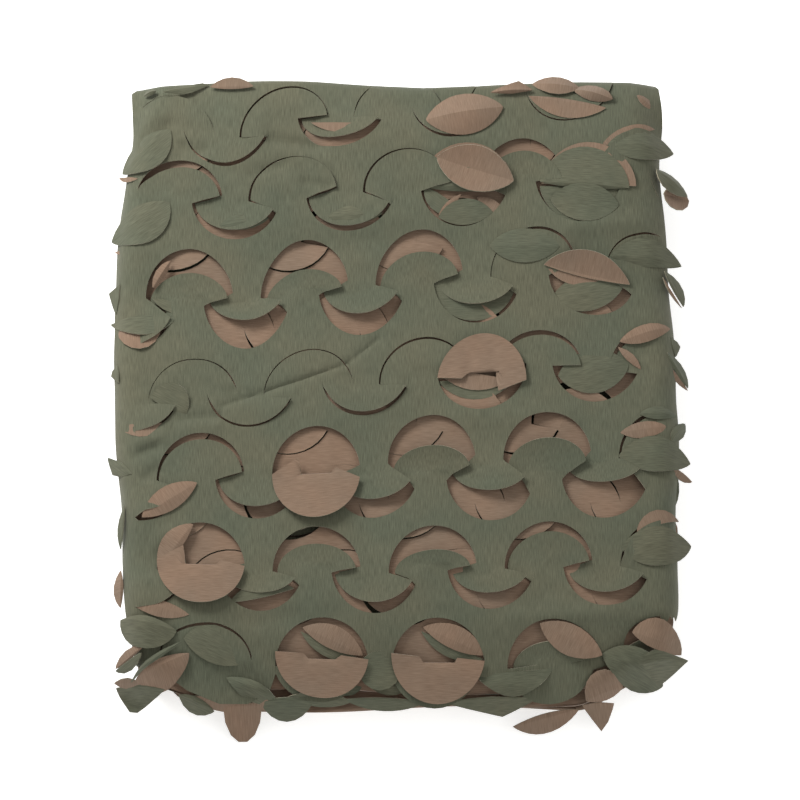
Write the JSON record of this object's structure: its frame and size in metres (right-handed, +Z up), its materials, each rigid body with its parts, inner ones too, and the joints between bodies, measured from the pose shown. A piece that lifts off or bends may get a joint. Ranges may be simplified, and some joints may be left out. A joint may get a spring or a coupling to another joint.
{
  "type": "folded camouflage net",
  "caption": "Two-sided camouflage net of die-cut cloth, folded back and forth into a flat packet, its rounded leaves opened, turned over and sticking out at the edges",
  "frame": {"origin": "centre of the packet's box on the surface that it lies on", "axes": "+Z up, +Y from the ragged near edge to the smoothly folded far edge, +X to the right seen from the near edge"},
  "size_m": [0.3466, 0.3838, 0.047],
  "materials": {
    "two_sided_cloth": "matt coated polyester, olive green on the face and tan brown on the back"
  },
  "bodies": {
    "root": {"net": "two_sided_cloth"}
  },
  "joints": []
}
